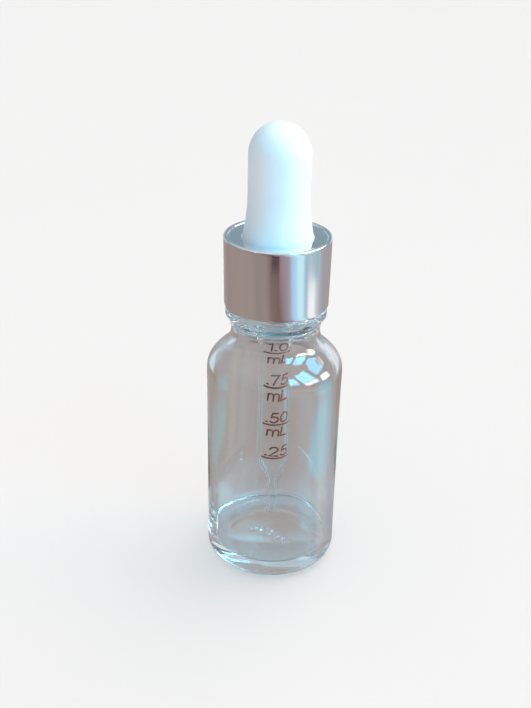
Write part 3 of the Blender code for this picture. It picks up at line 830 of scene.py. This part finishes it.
# Patches: bearing range and softness, elevation range and softness, colour, opacity.
PATCHES = (
    (156, 171.5, 3, -33.8, -29.4, 1.6, srgb(156, 192, 206), 1.0),
    (-168.5, -154, 3, -32.8, -29.6, 1.6, srgb(158, 186, 190), 0.9),
    (-180, -150, 6, -37.4, -35.6, 1.0, srgb(184, 202, 214), 0.8),
    (-13, 3, 4, -22.6, -17, 0.7, srgb(78, 58, 72), 0.9),
    (5, 24, 3, -24, -17, 2.5, srgb(166, 146, 158), 0.6),
    (61, 100, 4, -23.0, -17, 0.5, srgb(164, 192, 206), 1.0),
    (140, 162, 5, -17, 14, 5, srgb(232, 240, 246), 1.0),
    (168, 180, 5, -17, 12, 5, srgb(112, 102, 100), 0.8),
    (-180, -174, 4, -17, 12, 5, srgb(112, 102, 100), 0.8),
    (-148, -128, 6, -17, 14, 5, srgb(205, 226, 240), 1.0))


def ramp(tree, factor, stops, low, high):
    """A colour ramp over factor, with stops given in the unit of low and high."""
    node = tree.nodes.new("ShaderNodeValToRGB")
    tree.links.new(map_range(tree, factor, low, high, 0.0, 1.0), node.inputs["Fac"])
    elements = node.color_ramp.elements
    while len(elements) < len(stops):
        elements.new(0.5)
    for element, (position, colour) in zip(elements, stops):
        element.position = (position - low) / (high - low)
        element.color = (*colour, 1.0)
    return node.outputs["Color"]


def calculate(tree, operation, *values):
    """A math node over sockets or numbers; returns its Value socket."""
    node = tree.nodes.new("ShaderNodeMath")
    node.operation = operation
    for socket, value in zip(node.inputs, values):
        if isinstance(value, bpy.types.NodeSocket):
            tree.links.new(value, socket)
        else:
            socket.default_value = value
    return node.outputs["Value"]


def within(tree, value, low, high, soft):
    """One inside the range, zero outside, with soft ends."""
    rising = map_range(tree, value, low - soft / 2, low + soft / 2, 0.0, 1.0)
    falling = map_range(tree, value, high - soft / 2, high + soft / 2, 1.0, 0.0)
    return calculate(tree, 'MULTIPLY', rising, falling)


def make_world():
    """Plain pale grey to the camera; glass and metal see the painted room instead."""
    world = bpy.data.worlds.new("studio")
    bpy.context.scene.world = world
    world.use_nodes = True
    tree = world.node_tree
    tree.nodes.clear()
    place = tree.nodes.new("ShaderNodeTexCoord")
    parts = tree.nodes.new("ShaderNodeSeparateXYZ")
    tree.links.new(place.outputs["Generated"], parts.inputs["Vector"])
    nearer = calculate(tree, 'MULTIPLY', parts.outputs["Y"], -1.0)
    bearing = calculate(tree, 'DEGREES', calculate(tree, 'ARCTAN2', parts.outputs["X"], nearer))
    elevation = calculate(tree, 'DEGREES', calculate(tree, 'ARCSINE', parts.outputs["Z"]))
    around = ramp(tree, elevation, BY_ELEVATION, -90, 90)
    slant, shift = 1.6, 36.0
    leaning = calculate(tree, 'MULTIPLY_ADD', elevation, slant,
                        calculate(tree, 'ADD', bearing, shift))
    low_room = calculate(tree, 'MULTIPLY', within(tree, elevation, -39, 9, 4),
                         within(tree, bearing, -150, 140, 16))
    around = mix_colour(tree, low_room, around, ramp(tree, leaning, BY_BEARING, -180, 180))
    for left, right, soft_side, low, high, soft_height, colour, opacity in PATCHES:
        mask = calculate(tree, 'MULTIPLY', within(tree, bearing, left, right, soft_side),
                         within(tree, elevation, low, high, soft_height))
        around = mix_colour(tree, calculate(tree, 'MULTIPLY', mask, opacity), around, colour)
    rays = tree.nodes.new("ShaderNodeLightPath")
    seen = mix_colour(tree, rays.outputs["Is Camera Ray"], around, srgb(243, 244, 245))
    background = tree.nodes.new("ShaderNodeBackground")
    tree.links.new(seen, background.inputs["Color"])
    background.inputs["Strength"].default_value = 1.0
    out = tree.nodes.new("ShaderNodeOutputWorld")
    tree.links.new(background.outputs["Background"], out.inputs["Surface"])


def make_camera():
    """Seen from 0.19 m away, from above, with a slight lean."""
    pitch = math.radians(26.94)
    lean = math.radians(1.226)
    distance = 193.8 * MM
    aim = Vector((-1.95 * MM, 0, 48.51 * MM))
    back = Vector((0, -math.cos(pitch), math.sin(pitch)))
    camera = bpy.data.objects.new("camera", bpy.data.cameras.new("camera"))
    bpy.context.scene.collection.objects.link(camera)
    camera.location = aim + back * distance
    camera.rotation_mode = 'QUATERNION'
    turn = (-back).to_track_quat('-Z', 'Y')
    camera.rotation_quaternion = Quaternion(back, lean) @ turn
    camera.data.sensor_width = 36.0
    camera.data.lens = 47.15
    camera.data.clip_start = 0.005
    camera.data.clip_end = 20.0
    bpy.context.scene.camera = camera


def make_stage():
    make_floor()
    make_panes()
    make_world()
    add_sun("window_daylight", 48, 38, 2.5, (0.165, 0.68, 1.0), 30, False)
    add_sun("warm_key", 95, 42, 2.0, (1.0, 0.64, 0.38), 30, False)
    add_sun("soft_top", 130, 58, 0.65, (1.0, 0.98, 0.96), 50, True)
    make_camera()
    scene = bpy.context.scene
    scene.view_settings.view_transform = 'Standard'
    scene.cycles.max_bounces = 48
    scene.cycles.transmission_bounces = 24
    scene.cycles.glossy_bounces = 32
    scene.cycles.transparent_max_bounces = 16


make_stage()
make_bottle(glass_material("bottle_clear_glass", (0.955, 0.975, 0.972), 1.5, 0.0, 0.02, 0.02))
make_pipette(glass_material("pipette_clear_glass", (0.975, 0.98, 0.978), 1.15, 0.0, 0.015, 0.02))
make_scale(ink_material())
make_collar(aluminium_material())
make_bulb(rubber_material())
dress_cad_node("screw_cap", liner_material())
